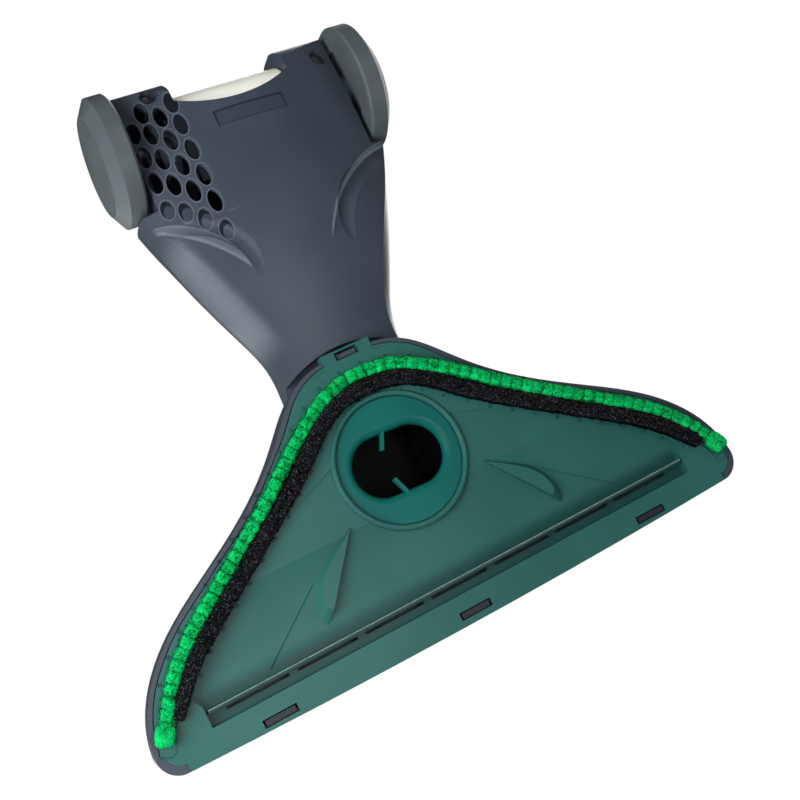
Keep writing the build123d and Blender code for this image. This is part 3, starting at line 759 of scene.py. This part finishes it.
def edgeBands(settings):
    # the sole's narrow margin, and a near-black band standing for the painted shadow in the gap between it
    # and the rim
    data = newCurve("rimRoute", "2D", routeSteps)
    full = bothHalves(settings["line"])
    spline = data.splines.new("BEZIER")
    spline.bezier_points.add(len(full) - 1)
    for point, (x, y) in zip(spline.bezier_points, full):
        point.co = onWing(x, y)
        point.handle_left_type = point.handle_right_type = "AUTO"
    route = addObject("rimRoute", data)
    length = routeLength(route)
    for name, band in settings["bands"].items():
        size = (length, (band["to"] - band["from"]) * mm, (band["high"] - band["low"]) * mm)
        middle = (length / 2, (band["from"] + band["to"]) / 2 * mm, (band["low"] + band["high"]) / 2 * mm)
        piece = addBlock(size, middle)
        bpy.ops.object.mode_set(mode="EDIT")
        for cut in range(1, settings["parts"]):
            bpy.ops.mesh.select_all(action="SELECT")
            bpy.ops.mesh.bisect(plane_co=(length * cut / settings["parts"], 0, 0), plane_no=(1, 0, 0))
        bpy.ops.object.mode_set(mode="OBJECT")
        alongRoute(piece, route)
        finishPiece(piece, name, finishes[band["finish"]], "wing")
    bpy.data.objects.remove(route)
    print("edge bands along", round(length / mm), "mm")


edgeBands(marginSet)


beadSet = {
    "line": [(104, -35.2), (110, -40.5), (114, -45.9), (117, -48.6), (121.6, -50), (124.3, -53.6),
             (125.6, -58), (127.6, -60.6), (130, -60.7), (133, -59.2)],
    "radius": 0.3, "height": 5.95, "steps": 8, "rounding": 2,
}


def channelBeads(settings):
    # a fine bead round the strips' ends at both tips
    data = newCurve("channelBead", "3D", settings["steps"])
    data.bevel_depth = settings["radius"] * mm
    data.bevel_resolution = settings["rounding"]
    data.use_fill_caps = True
    for side in (1, -1):
        addSmooth(data, [onWing(side * x, y, settings["height"]) for x, y in settings["line"]])
    pickOnly(addObject("channelBead", data))
    bpy.ops.object.convert(target="MESH")
    finishPiece(bpy.context.active_object, "channelBead", finishes["sole"], "wing")
    bpy.ops.object.shade_smooth()
    print("channel beads at both tips")


channelBeads(beadSet)


stageSet = {"floor": "#9a9a98", "glow": 0.55, "size": 40.0, "drop": 0.0004, "world": 0.35, "mirrored": 0.05,
            "white": (1, 1, 1, 1)}


def addFloor(settings):
    # the floor shows from above only, because the photo looks up at the sole
    bpy.ops.object.select_all(action="DESELECT")
    bpy.ops.mesh.primitive_plane_add(size=settings["size"], location=(0, 0, -settings["drop"]))
    floor = bpy.context.active_object
    floor.name = "paleFloor"
    material = bpy.data.materials.new("paleFloor")
    material.use_nodes = True
    tree = material.node_tree
    tree.nodes.clear()
    start = Wire(tree)
    paint = start.node("ShaderNodeBsdfDiffuse", {}, {"Color": tint(settings["floor"])})
    clear = start.node("ShaderNodeBsdfTransparent")
    behind = start.node("ShaderNodeNewGeometry", output="Backfacing")
    glow = start.node("ShaderNodeEmission", {}, {"Color": settings["white"], "Strength": settings["glow"]})
    lit = start.node("ShaderNodeAddShader", {}, {0: paint, 1: glow})
    both = start.node("ShaderNodeMixShader", {}, {0: behind, 1: lit, 2: clear})
    ending = tree.nodes.new("ShaderNodeOutputMaterial")
    tree.links.new(both.socket, ending.inputs[0])
    floor.data.materials.append(material)
    floor.visible_shadow = floor.visible_diffuse = floor.visible_glossy = False
    print("floor laid")


def addSky(settings):
    # white to the camera, dimmer as light, and dimmest in reflections
    world = bpy.data.worlds.new("studio")
    bpy.context.scene.world = world
    world.use_nodes = True
    tree = world.node_tree
    tree.nodes.clear()
    start = Wire(tree)
    seen = start.node("ShaderNodeLightPath", output="Is Camera Ray")
    gloss = start.node("ShaderNodeLightPath", output="Is Glossy Ray")
    through = start.node("ShaderNodeLightPath", output="Is Transmission Ray")
    power = settings["world"] - gloss * (settings["world"] - settings["mirrored"])
    power = power.most(seen).most(through)
    sky = start.node("ShaderNodeBackground", {}, {"Color": settings["white"], "Strength": power})
    ending = tree.nodes.new("ShaderNodeOutputWorld")
    tree.links.new(sky.socket, ending.inputs[0])
    print("sky set")


lampAim = Vector((0, 0, 0.03))
lampSet = {
    "underKey": {"place": (-0.02, -0.14, -0.72), "size": 0.3, "power": 0.7, "mirrored": True},
    "underFill": {"place": (-0.5, 0.3, -0.5), "size": 0.8, "power": 0.5, "mirrored": False},
    "sideFill": {"place": (0.45, -0.02, -0.36), "size": 0.4, "power": 5.0, "mirrored": False},
    "overKey": {"place": (0.6, -0.7, 1.1), "size": 0.8, "power": 18.0, "mirrored": True},
    "overFill": {"place": (-0.8, 0.6, 0.9), "size": 1.0, "power": 12.0, "mirrored": True},
}


def addLamps(lamps):
    for name, settings in lamps.items():
        data = bpy.data.lights.new(name, "AREA")
        data.size = settings["size"]
        data.energy = settings["power"]
        lamp = addObject(name, data)
        lamp.location = settings["place"]
        lamp.rotation_euler = (lampAim - lamp.location).to_track_quat("-Z", "Y").to_euler()
        lamp.visible_glossy = settings["mirrored"]
    print("lamps:", len(lamps))


addCamera(cameraSet)
addFloor(stageSet)
addSky(stageSet)
addLamps(lampSet)
bpy.context.scene.view_settings.view_transform = "Standard"
